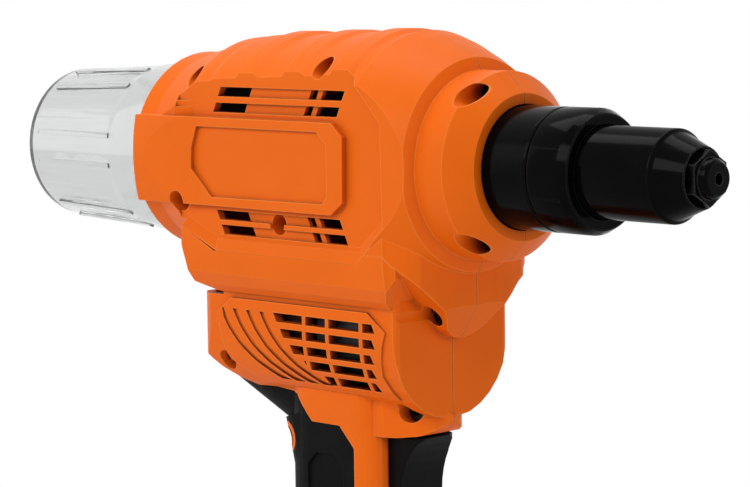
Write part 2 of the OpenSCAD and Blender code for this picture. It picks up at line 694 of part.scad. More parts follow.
// Jaw case on the screw's front end, with three jaws, their pusher and spring
case_x0 = 20;
case_x1 = 57;
case_step = 31;
cone_x = 44;
chamber_r = 7.6;
cone_exit_r = 4.2;
cone_slope = (chamber_r - cone_exit_r) / (case_x1 - cone_x);
function cone_at(x) = chamber_r - cone_slope * (x - cone_x);
thread_r = 7;
thread_end = 30;
module jaw_case() {
    color("#6f7276") at_axis() turned([[case_x0, thread_r], [case_x0, case_r], [case_x1 - 1, case_r],
        [case_x1, case_r - 1], [case_x1, cone_exit_r], [cone_x, chamber_r], [case_step, chamber_r],
        [case_step, thread_r]]);
}
jaw_x0 = 46;
jaw_x1 = 56;
jaw_gap = 0.15;
jaw_split = 0.5;
module jaw(turn) {
    tip = jaw_split / sin(60);
    color("#5b5e62") at_axis() rotate([turn, 0, 0]) intersection() {
        turned([[jaw_x0, mandrel_r], [jaw_x0, cone_at(jaw_x0) - jaw_gap],
            [jaw_x1, cone_at(jaw_x1) - jaw_gap], [jaw_x1, mandrel_r]]);
        beam_x([[tip, 0], [tip + 15, 15 * tan(60)], [tip + 15, -15 * tan(60)]], jaw_x0 - 1, jaw_x1 + 1);
    }
}
module jaw_1() { jaw(90); }
module jaw_2() { jaw(210); }
module jaw_3() { jaw(330); }
pusher_x = 40;
pusher_r = 6.2;
pusher_bore = 2.2;
module jaw_pusher() {
    color("#85888c") at_axis() turned([[pusher_x, pusher_bore], [pusher_x, chamber_r - slide_gap],
        [pusher_x + 2, chamber_r - slide_gap], [pusher_x + 2, pusher_r], [jaw_x0 - 0.2, pusher_r],
        [jaw_x0 - 0.2, pusher_bore]]);
}
// Wound wire about the nose axis, six flats round the wire and eight rings a turn
module coil(x0, x1, mean_r, wire_r, turns) {
    rings = turns * 8;
    points = [for (i = [0:rings]) let (a = 45 * i, x = x0 + wire_r + (x1 - x0 - 2 * wire_r) * i / rings)
        for (j = [0:5]) let (r = mean_r + wire_r * cos(60 * j))
            [x + wire_r * sin(60 * j), r * cos(a), r * sin(a)]];
    walls = [for (i = [0:rings - 1]) for (j = [0:5]) let (k = (j + 1) % 6)
        each [[i * 6 + j, i * 6 + k, i * 6 + 6 + j], [i * 6 + k, i * 6 + 6 + k, i * 6 + 6 + j]]];
    ends = [[for (j = [5:-1:0]) j], [for (j = [0:5]) rings * 6 + j]];
    polyhedron(points, concat(walls, ends));
}
spring_turns = 5;
spring_wire = 0.55;
module jaw_spring() {
    color("#a0a2a4") at_axis() coil(thread_end + 0.1, pusher_x - 0.1, 5.8, spring_wire, spring_turns);
}

// Hollow ball screw with its two guide studs and the tube that leads spent mandrels back
tube_front = -101.5;
tube_end = -152;
stud_in = 4.6;
module ball_screw() {
    color("#b4b7ba") at_axis() difference() {
        union() {
            rod_x(screw_rear, case_x0 - 0.02, screw_r);
            rod_x(case_x0 - 1, thread_end, thread_r - run_gap);
        }
        rod_x(screw_rear - 1, thread_end + 1, hollow_r);
        rod_x(screw_rear - 1, tube_front, tube_r + run_gap / 2);
        mirrored_y() rod_y(stud_x, 0, stud_in, screw_r + 5, stud_r + run_gap / 2);
    }
}
module guide_studs() {
    color("#85888c") at_axis() mirrored_y() rod_y(stud_x, 0, stud_in + 0.02, guide_r - 0.3, stud_r);
}
module mandrel_tube() {
    color("#c0c2c4") at_axis() tube_x(tube_end, tube_front - 0.02, tube_r, hollow_r);
}

// Spur gears: straight-flanked teeth, thinned for free running
tooth_tip = 0.85;
tooth_root = 1.15;
function teeth(n, m, phase, out, in, sign) = [for (i = [0:n - 1])
    let (a = 360 / n * i + phase, p = 360 / n, r = m * n / 2)
    for (t = [[-sign * 0.27, in], [-sign * 0.1, out], [sign * 0.1, out], [sign * 0.27, in]])
        (r + t[1] * m) * [cos(a + t[0] * p), sin(a + t[0] * p)]];
function mesh_phase(dir, n_a, phase_a, n_b) = dir + 180 - (180 - n_a * (dir - phase_a)) / n_b;
idler_phase = mesh_phase(-90, nut_teeth, 0, idler_teeth);
pinion_phase = mesh_phase(-90, idler_teeth, idler_phase, pinion_teeth);
module gear_x(n, m, phase, x0, x1, y = 0, z = 0) {
    translate([0, y, z]) beam_x(teeth(n, m, phase, tooth_tip, -tooth_root, 1), x0, x1);
}
nut_x0 = -66;
nut_x1 = -26;
module ball_nut() {
    color("#9ea1a5") at_axis() tube_x(nut_x0, nut_x1, nut_r, screw_r + run_gap);
}
module nut_gear() {
    color("#8a8d90") at_axis() difference() {
        gear_x(nut_teeth, spur_module, 0, gear_back, gear_front);
        rod_x(gear_back - 1, gear_front + 1, nut_r + run_gap / 2);
    }
}
front_bearing_r = 19;
front_bearing_x = -33.5;
bearing_w = 6.5;
rear_bearing_outer = 20;
rear_bearing_x = -64;
module front_bearing() {
    color("#c8cacc") at_axis()
        tube_x(front_bearing_x, front_bearing_x + bearing_w, front_bearing_r, nut_r + run_gap);
}
module rear_bearing() {
    color("#c8cacc") at_axis()
        tube_x(rear_bearing_x, rear_bearing_x + bearing_w, rear_bearing_outer, nut_r + run_gap);
}
module idler_gear() {
    color("#8a8d90") at_axis() difference() {
        gear_x(idler_teeth, spur_module, idler_phase, gear_back, gear_front, 0, idler_z);
        rod_x(gear_back - 1, gear_front + 1, pin_r + run_gap, idler_z);
    }
}
pin_r = 3;
pin_x0 = -49.5;
pin_x1 = -33.8;
module idler_pin() { color("#b4b7ba") at_axis() rod_x(pin_x0, pin_x1, pin_r, idler_z); }

// Gear case in two pieces, with the planet stage's ring in its lower cup
case_wall_x = -50;
gear_floor = gear_back - 0.6;
ring_outer = 20.2;
cup_outer = 21.8;
nut_room = nut_teeth / 2 * spur_module + 2;
idler_room = idler_teeth / 2 * spur_module + 1.7;
pinion_room = pinion_teeth / 2 * spur_module + 2.5;
carrier_shaft = 6;
carrier_stub = 3;
cover_front = -30;
cover_low_front = min(-33.7, -motor_front - panel_rise - wall - 0.2);
module gear_case() {
    color("#a7aaae") at_axis() difference() {
        union() {
            rod_x(case_rear, case_split, nut_room + 3.4);
            rod_x(case_wall_x, case_split, idler_room + 3, idler_z);
            rod_x(case_wall_x, case_split, pinion_room + 3.5, motor_z);
            rod_x(case_rear, gear_floor, cup_outer, motor_z);
        }
        rod_x(gear_floor, case_split + 1, nut_room);
        rod_x(gear_floor, case_split + 1, idler_room, idler_z);
        rod_x(gear_floor, case_split + 1, pinion_room, motor_z);
        rod_x(case_rear - 1, rear_bearing_x + bearing_w + 0.05, rear_bearing_outer + run_gap);
        rod_x(case_rear - 1, case_split, nut_r + 1);
        rod_x(case_rear - 1, case_wall_x, ring_outer + run_gap, motor_z);
        rod_x(case_rear, case_split, carrier_shaft + run_gap, motor_z);
        rod_x(pin_x0 - 0.02, case_split, pin_r + run_gap / 2, idler_z);
    }
}
module gear_case_cover() {
    color("#a7aaae") at_axis() difference() {
        union() {
            rod_x(case_split + 0.02, cover_front, nut_room + 3.4);
            rod_x(case_split + 0.02, cover_low_front, idler_room + 1, idler_z);
            rod_x(case_split + 0.02, cover_low_front, pinion_room + 3.5, motor_z);
            rod_x(cover_front - 1, -24.2, nut_room + 2);
            rod_x(-25, -3, nose_r - 0.2);
        }
        rod_x(case_split - 1, front_bearing_x + bearing_w + 0.05, front_bearing_r + run_gap);
        rod_x(case_split, 1, neck_r);
        rod_x(case_split - 1, cover_low_front + 1, pin_r + run_gap / 2, idler_z);
        rod_x(case_split - 1, cover_low_front + 1, carrier_stub + run_gap, motor_z);
    }
}
guide_flange_r = 20;
slot_x0 = stud_x - stroke - stud_r - 0.3;
slot_x1 = stud_x + stud_r + 0.3;
module guide_housing() {
    color("#8f9296") at_axis() difference() {
        union() {
            rod_x(bulkhead_x, case_rear - seat_gap, guide_r);
            rod_x(bulkhead_x, bulkhead_x + 3, guide_flange_r);
            rod_x(case_rear - seat_gap - 2, case_rear - seat_gap, guide_flange_r);
        }
        rod_x(bulkhead_x - 1, case_rear + 1, screw_r + 0.4);
        box([slot_x0, -guide_r - 1, -stud_r - 0.2], [slot_x1, guide_r + 1, stud_r + 0.2]);
    }
}

// Planet stage between motor and pinion
sun_teeth = 12;
planet_teeth = 18;
ring_teeth = sun_teeth + 2 * planet_teeth;
planet_orbit = (sun_teeth + planet_teeth) / 2 * planet_module;
planet_pin_r = 2;
planet_x0 = -62;
planet_x1 = -54.6;
carrier_x = -53.6;
module planet_carrier() {
    color("#8a8d90") at_axis() union() {
        rod_x(carrier_x, case_wall_x - 0.5, planet_orbit + 2, motor_z);
        for (a = [0:120:240]) translate([0, planet_orbit * cos(a), planet_orbit * sin(a)])
            rod_x(planet_x0, carrier_x + 1, planet_pin_r, motor_z);
        rod_x(case_wall_x - 1, gear_back + 0.5, carrier_shaft - 1.2, motor_z);
        rod_x(case_wall_x - 1, gear_floor + 0.3, carrier_shaft, motor_z);
        gear_x(pinion_teeth, spur_module, pinion_phase, gear_back, gear_front, 0, motor_z);
        rod_x(gear_front - 1, cover_low_front - 0.2, carrier_stub, motor_z);
    }
}
module planet(a) {
    phase = mesh_phase(a, sun_teeth, 0, planet_teeth);
    color("#8a8d90") at_axis()
        translate([0, planet_orbit * cos(a), planet_orbit * sin(a) + motor_z]) difference() {
        gear_x(planet_teeth, planet_module, phase, planet_x0, planet_x1);
        rod_x(planet_x0 - 1, planet_x1 + 1, planet_pin_r + run_gap);
    }
}
module planet_1() { planet(0); }
module planet_2() { planet(120); }
module planet_3() { planet(240); }
module ring_gear() {
    color("#8a8d90") at_axis() difference() {
        rod_x(planet_x0 - 2, planet_x1 + 0.6, ring_outer, motor_z);
        translate([0, 0, motor_z])
            beam_x(teeth(ring_teeth, planet_module, 0, -tooth_tip, tooth_root, 1),
                planet_x0 - 3, planet_x1 + 2);
    }
}

// Motor
shaft_r = 2.5;
plate_x = case_rear - 2.5;
small_bearing_r = 6;
module motor_plate() {
    color("#a7aaae") at_axis()
        tube_x(plate_x, case_rear - 0.05, cup_outer, small_bearing_r + run_gap, motor_z);
}
module motor_bearing() {
    color("#c8cacc") at_axis()
        tube_x(plate_x, case_rear - 0.05, small_bearing_r, shaft_r + run_gap, motor_z);
}
rotor_rear = -117;
rotor_r = 10;
module motor_rotor() {
    color("#6a6d72") at_axis() union() {
        rod_x(rotor_rear, planet_x1, shaft_r, motor_z);
        rod_x(stator_x0 + 2, stator_x1 - 2, rotor_r, motor_z);
        gear_x(sun_teeth, planet_module, 0, planet_x0, planet_x1 - 0.4, 0, motor_z);
    }
}
fan_r = 19;
fan_x0 = -76;
fan_x1 = -70;
module motor_fan() {
    color("#1f2022") at_axis() translate([0, 0, motor_z]) difference() {
        union() {
            rod_x(fan_x0, fan_x1, 6);
            rod_x(fan_x0, fan_x0 + 1.2, fan_r);
            for (a = [0:40:320]) rotate([a, 0, 0]) box([fan_x0 + 0.5, 5, -0.6], [fan_x1, fan_r - 0.5, 0.6]);
        }
        rod_x(fan_x0 - 1, fan_x1 + 1, shaft_r + run_gap / 2);
    }
}
module motor_stator() {
    color("#8c5a3a") at_axis() tube_x(stator_x0, stator_x1, stator_r, rotor_r + 0.6, motor_z);
}
module rear_motor_bearing() {
    color("#c8cacc") at_axis() tube_x(rotor_rear, -112.1, rear_bearing_r, shaft_r + run_gap, motor_z);
}

// Clear collector for spent mandrels, pushed into the collar on a ring seal
spigot_x = -146;
seal_x = -139;
seal_wire = 0.95;
cup_spigot = cup_front_r - 0.6;
cup_neck = -161;
cup_front = bulkhead_x - bulkhead_t - 2;
rib_h = 0.9;
rib_rear = 7 - cup_rear;
rib_front = -163;
// Outer radius of the collector along its taper
function cup_r(x) = cup_rear_r + 1.9 * (x + cup_rear - 1) / (cup_neck + cup_rear - 5);
rib_offset = 5;
rib_w = 1.6;
module collector() {
    color("#c8ccc8", 0.5) at_axis() union() {
        turned([[-cup_rear, 0], [-cup_rear, cup_rear_r - 1], [1 - cup_rear, cup_rear_r],
            [cup_neck - 4, cup_rear_r + 1.9], [cup_neck, cup_front_r], [spigot_x, cup_front_r],
            [spigot_x, cup_spigot], [seal_x - 1.1, cup_spigot], [seal_x - 1.1, cup_spigot - 1],
            [seal_x + 1.1, cup_spigot - 1], [seal_x + 1.1, cup_spigot], [cup_front, cup_spigot],
            [cup_front, cup_spigot - cup_wall], [cup_neck, cup_spigot - cup_wall],
            [cup_wall - cup_rear, cup_rear_r - cup_wall], [cup_wall - cup_rear, 0]]);
        for (a = [0:60:300]) for (side = [-1, 1]) rotate([a, 0, 0]) intersection() {
            turned([[rib_rear, cup_r(rib_rear) - 0.8], [rib_rear, cup_r(rib_rear) + rib_h],
                [rib_front, cup_r(rib_front) + rib_h], [rib_front, cup_r(rib_front) - 0.8]]);
            box([-big, 0, side * rib_offset - rib_w / 2], [0, big, side * rib_offset + rib_w / 2]);
        }
    }
}
module collector_seal() {
    color("#202022") at_axis() translate([seal_x, 0, 0]) rotate([0, 90, 0]) rotate_extrude()
        translate([seal_bore - run_gap - seal_wire, 0]) circle(seal_wire);
}

// Trigger and the switch it works
trigger_rear = -55;
stem_z = -104;
stem_end = -70;
switch_front = -64;
trigger_hollow_x = -18.2;
trigger_hollow_r = 27;
module trigger() {
    sweep = asin((trigger_top - trigger_low) / 2 / trigger_hollow_r);
    hollow = [trigger_hollow_x, (trigger_top + trigger_low) / 2];
    front = arc(hollow, trigger_hollow_r, 180 - sweep, 180 + sweep, 12);
    color("#2c2c30") at_axis() union() {
        intersection() {
            slab_y(concat([[trigger_rear, trigger_low], [trigger_rear, trigger_top]], front),
                -trigger_w, trigger_w);
            translate([0, 0, trigger_low - 1]) linear_extrude(trigger_top - trigger_low + 2)
                polygon(both_y([[trigger_rear - 1, trigger_w], [-46.7, trigger_w], [-42, 9], [-39, 7.8],
                    [-37, 4], [-36.5, 1]]));
        }
        rod_x(stem_end, trigger_rear + 1, pin_r, stem_z);
    }
}
module switch_module() {
    color("#26262a") at_axis() difference() {
        box([-84, -10, -123], [switch_front, 10, -95]);
        rod_x(stem_end - trigger_travel - 2, switch_front + 1, pin_r + run_gap, stem_z);
    }
}

// Electronics in the foot
board_z = foot_z + rail_lip + rail_head + 2;
module control_board() {
    color("#2e6b3a") at_axis() box([-90, 15 - foot_w, board_z + 0.05], [-40, foot_w - 15, board_z + 1.6]);
}
blade_y = 10;
module terminal_block() {
    color("#222226") at_axis() union() {
        box([block_x + 0.05, 4.5 - rail_w, foot_z + 4], [block_x + 7, rail_w - 4.5, foot_z + 9]);
        mirrored_y()
            box([block_x + 6, blade_y - 0.4, foot_z + 5], [block_x + 15, blade_y + 0.4, foot_z + 8]);
    }
}

// Battery pack on the slide
pack_top = foot_z - slide_gap;
pack_low = -axis_height;
pack_split = pack_top - 25;
pack_round = 8;
function pack_plan(d) = both_y(concat(
    arc([foot_l0 + pack_round, foot_w - pack_round], pack_round - d, 180, 90, 6),
    arc([foot_l1 - pack_round, foot_w - pack_round], pack_round - d, 90, 0, 6)));
module pack_slab(z0, z1, d) { translate([0, 0, z0]) linear_extrude(z1 - z0) polygon(pack_plan(d)); }
pack_screw_x = battery_l / 2 - 4.5;
pack_screw_y = battery_w / 2 - 9;
pack_screws = [for (i = [-1, 1]) for (j = [-1, 1]) [i * pack_screw_x - axis_forward, j * pack_screw_y]];
pack_screw_r = 1.5;
pack_boss_r = 3.4;
module upright(z0, z1, r) { translate([0, 0, z0]) cylinder(r = r, h = z1 - z0, $fn = 32); }
cell_pitch = 20.5;
cell_l = battery_w - 2 * (case_wall + cell_room);
holder_in = cell_l / 2 - 13.5;
holder_t = 4;
cell_low = pack_low + case_wall + 0.8 + cell_r;
cell_rise = 19.6;
button_w = 12;
button_travel = 4;
button_low = pack_top - 17;
button_top = pack_top - 3;
button_depth = 5;
module battery_lower_case() {
    color("#2a2a2c") at_axis() difference() {
        union() {
            difference() {
                pack_slab(pack_low, pack_split, 0);
                pack_slab(pack_low + case_wall, pack_split + 1, case_wall);
            }
            for (p = pack_screws) translate([p[0], p[1], 0]) upright(pack_low + 1, pack_split, pack_boss_r);
        }
        for (p = pack_screws) translate([p[0], p[1], 0]) {
            upright(pack_low - 1, pack_low + 4, 2.6);
            upright(pack_low, pack_split + 1, pack_screw_r + run_gap);
        }
    }
}
rail_rear = block_x + 7.5;
module battery_upper_case() {
    color("#2a2a2c") at_axis() difference() {
        union() {
            difference() {
                pack_slab(pack_split + seat_gap, pack_top, 0);
                pack_slab(pack_split - 1, pack_top - case_wall, case_wall);
            }
            for (p = pack_screws) translate([p[0], p[1], 0])
                upright(pack_split + seat_gap, pack_top - 1, pack_boss_r);
            box([rail_rear, -rail_w, pack_top - 1],
                [foot_l1 - 1, rail_w, foot_z + rail_lip + slide_gap + 1]);
            box([rail_rear, -rail_head_w, foot_z + rail_lip + slide_gap],
                [foot_l1 - 1, rail_head_w, foot_z + rail_lip + rail_head]);
            box([foot_l1 - button_depth - case_wall, -button_w - 3, button_low - 7],
                [foot_l1 - 1, button_w + 3, pack_top - 1]);
        }
        for (p = pack_screws) translate([p[0], p[1], 0])
            upright(pack_split - 1, pack_top - 8, pack_screw_r + run_gap);
        mirrored_y()
            box([rail_rear - 1, blade_y - 1, foot_z + 4.5], [block_x + 16, blade_y + 1, foot_z + 8.5]);
        box([foot_l1 - button_depth - slide_gap, -button_w - slide_gap, button_low - button_travel - 1],
            [foot_l1 + 1, button_w + slide_gap, button_top + slide_gap]);
    }
}
module battery_cells() {
    color("#3d6fb0") at_axis() for (i = [-2:2]) for (j = [0:1])
        rod_y(i * cell_pitch - axis_forward, cell_low + j * cell_rise, -cell_l / 2, cell_l / 2, cell_r);
}
holder_top = pack_top - 14;
module cell_holders() {
    color("#d8d8d0") at_axis() mirrored_y() difference() {
        box([foot_l0 + 8.5, holder_in, pack_low + case_wall + 0.2],
            [foot_l1 - 14, holder_in + holder_t, holder_top]);
        for (i = [-2:2]) for (j = [0:1])
            rod_y(i * cell_pitch - axis_forward, cell_low + j * cell_rise,
                holder_in - 1, holder_in + holder_t + 1, cell_r + run_gap);
    }
}
module battery_board() {
    color("#2e6b3a") at_axis() union() {
        box([-100, 10 - foot_w, holder_top + 0.05], [-24, foot_w - 10, holder_top + 1.7]);
        box([-98, 21 - foot_w, holder_top + 1], [-84, foot_w - 21, pack_top - case_wall - 0.3]);
    }
}
module release_button() {
    color("#3a3a3e") at_axis()
        box([foot_l1 - button_depth, -button_w, button_low], [foot_l1 + 0.5, button_w, button_top]);
}
module battery_screws() {
    color("#b8b8b4") at_axis() for (p = pack_screws) translate([p[0], p[1], 0]) {
        difference() {
            upright(pack_low + 1.4, pack_low + 3.98, 2.5);
            translate([0, 0, pack_low + 1]) cylinder(r = 1.3, h = 1.6, $fn = 6);
        }
        upright(pack_low + 3.5, pack_top - 9, pack_screw_r);
    }
}

right_shell();
left_shell();
right_grip_cover();
left_grip_cover();
housing_screws();
nose_adapter();
lock_ring();
tip_sleeve();
nosepiece();
jaw_case();
jaw_1();
jaw_2();
jaw_3();
jaw_pusher();
jaw_spring();
ball_screw();
guide_studs();
mandrel_tube();
ball_nut();
nut_gear();
front_bearing();
rear_bearing();
gear_case();
gear_case_cover();
idler_gear();
idler_pin();
guide_housing();
planet_carrier();
planet_1();
planet_2();
planet_3();
ring_gear();
motor_plate();
motor_bearing();
motor_rotor();
motor_fan();
motor_stator();
rear_motor_bearing();
collector();
collector_seal();
trigger();
switch_module();
control_board();
terminal_block();
battery_lower_case();
battery_upper_case();
battery_cells();
cell_holders();
battery_board();
release_button();
battery_screws();
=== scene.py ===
import json
import math

import bmesh
import bpy
from mathutils import Matrix, Vector

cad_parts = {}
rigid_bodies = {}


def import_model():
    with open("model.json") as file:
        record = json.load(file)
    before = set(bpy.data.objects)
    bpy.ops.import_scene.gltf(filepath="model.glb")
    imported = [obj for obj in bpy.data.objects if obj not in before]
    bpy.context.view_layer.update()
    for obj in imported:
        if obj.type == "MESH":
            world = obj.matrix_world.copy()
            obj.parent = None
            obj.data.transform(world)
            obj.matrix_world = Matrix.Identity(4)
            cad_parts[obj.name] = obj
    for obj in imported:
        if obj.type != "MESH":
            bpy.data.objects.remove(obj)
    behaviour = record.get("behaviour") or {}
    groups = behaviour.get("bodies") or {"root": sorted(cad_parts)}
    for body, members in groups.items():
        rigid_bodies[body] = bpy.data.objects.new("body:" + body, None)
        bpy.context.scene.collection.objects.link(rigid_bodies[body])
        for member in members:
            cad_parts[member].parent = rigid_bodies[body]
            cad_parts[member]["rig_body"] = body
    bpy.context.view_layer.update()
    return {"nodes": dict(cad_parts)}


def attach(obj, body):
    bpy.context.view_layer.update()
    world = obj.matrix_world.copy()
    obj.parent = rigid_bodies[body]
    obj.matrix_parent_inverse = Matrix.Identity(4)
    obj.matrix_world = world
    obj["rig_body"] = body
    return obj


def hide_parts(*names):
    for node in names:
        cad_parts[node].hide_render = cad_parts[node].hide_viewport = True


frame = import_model()
nodes = frame["nodes"]

# Drive train: ball screw with nut, jaws and mandrel tube, the gears from motor to nut, and their bearings.
# Screw, jaws, gears and bearings are hardened, ground steel; case, cover, guide housing and motor plate are
# die-cast, their colour darkened to painted shade for the tool's dark inside. Bearings are pressed in, and
# the whole unit is held between the housing halves.


def new_material(name):
    """Material with its node tree and its shader."""
    mat = bpy.data.materials.new(name)
    mat.use_nodes = True
    tree = mat.node_tree
    return mat, tree, tree.nodes["Principled BSDF"]


def node_of(tree, kind, **values):
    """New node, with each value set on the node itself or else on its input of that name."""
    made = tree.nodes.new(kind)
    for key, value in values.items():
        if hasattr(made, key):
            setattr(made, key, value)
        else:
            made.inputs[key].default_value = value
    return made


def grain(tree, scale, detail=3.0, stretch=(1.0, 1.0, 1.0)):
    """Cloudy noise that stays on the piece, drawn out along an axis where stretch is small."""
    place = tree.nodes.new("ShaderNodeTexCoord")
    spread = node_of(tree, "ShaderNodeMapping", Scale=stretch)
    noise = node_of(tree, "ShaderNodeTexNoise", Scale=scale, Detail=detail)
    tree.links.new(place.outputs["Object"], spread.inputs["Vector"])
    tree.links.new(spread.outputs["Vector"], noise.inputs["Vector"])
    return noise.outputs["Fac"]


def ramp(tree, source, low, high, start=0.3, end=0.7):
    """Value that goes from low to high while the source goes from start to end."""
    turn = tree.nodes.new("ShaderNodeMapRange")
    turn.inputs["From Min"].default_value = start
    turn.inputs["From Max"].default_value = end
    turn.inputs["To Min"].default_value = low
    turn.inputs["To Max"].default_value = high
    tree.links.new(source, turn.inputs["Value"])
    return turn.outputs["Result"]


def tint(tree, source, dark, light):
    """Colour between dark and light, as the noise says."""
    blend = node_of(tree, "ShaderNodeMix", data_type="RGBA")
    blend.inputs["A"].default_value = (*dark, 1.0)
    blend.inputs["B"].default_value = (*light, 1.0)
    tree.links.new(ramp(tree, source, low=0.0, high=1.0), blend.inputs["Factor"])
    return blend.outputs["Result"]


def raise_grain(tree, shader, source, strength, depth, rounding=0.0):
    """Bump from the noise, over corners that look rounded where a radius is given."""
    bump = node_of(tree, "ShaderNodeBump", Strength=strength, Distance=depth)
    tree.links.new(source, bump.inputs["Height"])
    if rounding:
        edge = node_of(tree, "ShaderNodeBevel", samples=6, Radius=rounding)
        tree.links.new(edge.outputs["Normal"], bump.inputs["Normal"])
    tree.links.new(bump.outputs["Normal"], shader.inputs["Normal"])


def ground_steel(name, dark, light, roughness):
    """Metal with fine grinding marks along the tool."""
    mat, tree, shader = new_material(name)
    marks = grain(tree, scale=900.0, detail=4.0, stretch=(0.15, 1.0, 1.0))
    tree.links.new(tint(tree, marks, dark, light), shader.inputs["Base Color"])
    tree.links.new(ramp(tree, marks, low=roughness - 0.08, high=roughness + 0.1), shader.inputs["Roughness"])
    shader.inputs["Metallic"].default_value = 1.0
    raise_grain(tree, shader, marks, strength=0.15, depth=0.0001)
    return mat


def wear(names, mat):
    """Gives CAD nodes their finish; their exact surfaces stay as they are."""
    for name in names:
        mesh = nodes[name].data
        mesh.materials.clear()
        mesh.materials.append(mat)
        for face in mesh.polygons:
            face.material_index = 0


bright_steel = ground_steel("bright_steel", dark=(0.42, 0.43, 0.44), light=(0.62, 0.63, 0.64), roughness=0.26)
wear(["jaw_case", "jaw_1", "jaw_2", "jaw_3", "jaw_pusher", "jaw_spring", "ball_screw", "guide_studs",
      "mandrel_tube", "ball_nut", "nut_gear", "front_bearing", "rear_bearing", "idler_gear", "idler_pin",
      "planet_carrier", "planet_1", "planet_2", "planet_3", "ring_gear", "motor_bearing", "motor_rotor",
      "rear_motor_bearing"], bright_steel)
# painted shade: the die-cast parts are made near black so the inside seen through the vents looks dark
cast_aluminium_painted_shade = ground_steel("cast_aluminium_painted_shade", dark=(0.03, 0.03, 0.032), light=(0.055, 0.055, 0.057),
                              roughness=0.55)
wear(["gear_case", "gear_case_cover", "guide_housing", "motor_plate"], cast_aluminium_painted_shade)

# Motor windings, circuit boards, cells and their holders, all closed in by the housing and the battery cases.
# Enamelled copper is wound on the stator, the boards are lacquered, the cells wear shrink sleeves and sit in
# holders moulded in pale plastic.


def lacquered(name, dark, light, roughness):
    """Smooth coat with a slight cloudiness."""
    mat, tree, shader = new_material(name)
    fine = grain(tree, scale=400.0)
    tree.links.new(tint(tree, fine, dark, light), shader.inputs["Base Color"])
    tree.links.new(ramp(tree, fine, low=roughness, high=roughness + 0.15), shader.inputs["Roughness"])
    raise_grain(tree, shader, fine, strength=0.1, depth=0.0002)
    return mat


wear(["motor_stator"],
     lacquered("wound_copper", dark=(0.10, 0.045, 0.02), light=(0.19, 0.09, 0.04), roughness=0.4))
wear(["control_board", "battery_board"],
     lacquered("board_lacquer", dark=(0.01, 0.12, 0.04), light=(0.02, 0.17, 0.06), roughness=0.3))
wear(["battery_cells"],
     lacquered("cell_sleeve", dark=(0.05, 0.17, 0.36), light=(0.08, 0.22, 0.45), roughness=0.3))
wear(["cell_holders"],
     lacquered("holder_moulding", dark=(0.6, 0.6, 0.57), light=(0.7, 0.7, 0.67), roughness=0.5))

# Housing: two halves moulded from glass-filled nylon, screwed together along the tool's middle plane.
# The colour is in the plastic. The mould's spark texture shows as a soft grain, corners carry a painted
# highlight, and wells and slots get painted shade in their depths.


def painted_edge_highlight(tree, radius):
    """Factor that rises where the surface turns within the radius, for a painted highlight along the corner.
    """
    edge = node_of(tree, "ShaderNodeBevel", samples=6, Radius=radius)
    plain = tree.nodes.new("ShaderNodeNewGeometry")
    turn = node_of(tree, "ShaderNodeVectorMath", operation="DOT_PRODUCT")
    tree.links.new(edge.outputs["Normal"], turn.inputs[0])
    tree.links.new(plain.outputs["Normal"], turn.inputs[1])
    return ramp(tree, turn.outputs["Value"], low=1.0, high=0.0, start=0.88, end=0.997)


def painted_crevice_shade(tree, reach):
    """Factor that rises deep in a well or slot, for painted shade where little light gets in."""
    hollow = node_of(tree, "ShaderNodeAmbientOcclusion", samples=6, Distance=reach)
    return ramp(tree, hollow.outputs["AO"], low=1.0, high=0.0, start=0.2, end=0.72)


def over(tree, factor, below, colour):
    """Colour laid over another where the factor is high."""
    layer = node_of(tree, "ShaderNodeMix", data_type="RGBA")
    layer.inputs["B"].default_value = (*colour, 1.0)
    tree.links.new(factor, layer.inputs["Factor"])
    tree.links.new(below, layer.inputs["A"])
    return layer.outputs["Result"]


def moulded_orange():
    mat, tree, shader = new_material("moulded_orange")
    cloud = grain(tree, scale=35.0, detail=2.0)
    spark = grain(tree, scale=2600.0, detail=4.0)
    plain = tint(tree, cloud, dark=(0.83, 0.138, 0.004), light=(0.88, 0.150, 0.005))
    # painted highlight: lighter orange laid along corners and edges
    highlighted = over(tree, painted_edge_highlight(tree, radius=0.0007), plain, colour=(1.0, 0.27, 0.045))
    # painted shade: dark orange laid in wells, slots and grooves from the occlusion factor
    shaded = over(tree, painted_crevice_shade(tree, reach=0.006), highlighted, colour=(0.10, 0.010, 0.001))
    tree.links.new(shaded, shader.inputs["Base Color"])
    tree.links.new(ramp(tree, spark, low=0.38, high=0.52), shader.inputs["Roughness"])
    shader.inputs["Specular IOR Level"].default_value = 0.1
    raise_grain(tree, shader, spark, strength=0.2, depth=0.00012, rounding=0.0006)
    return mat


wear(["right_shell", "left_shell"], moulded_orange())

# Housing and battery screws: blackened steel, cold-headed and thread-rolled, the head with a hexagon socket.
# Each housing screw is sunk in a moulded well and bites into the boss of the other half; the battery's four
# go up through the lower case into the upper one.
blackened_steel = ground_steel("blackened_steel", dark=(0.012, 0.012, 0.012), light=(0.03, 0.03, 0.03),
                               roughness=0.4)


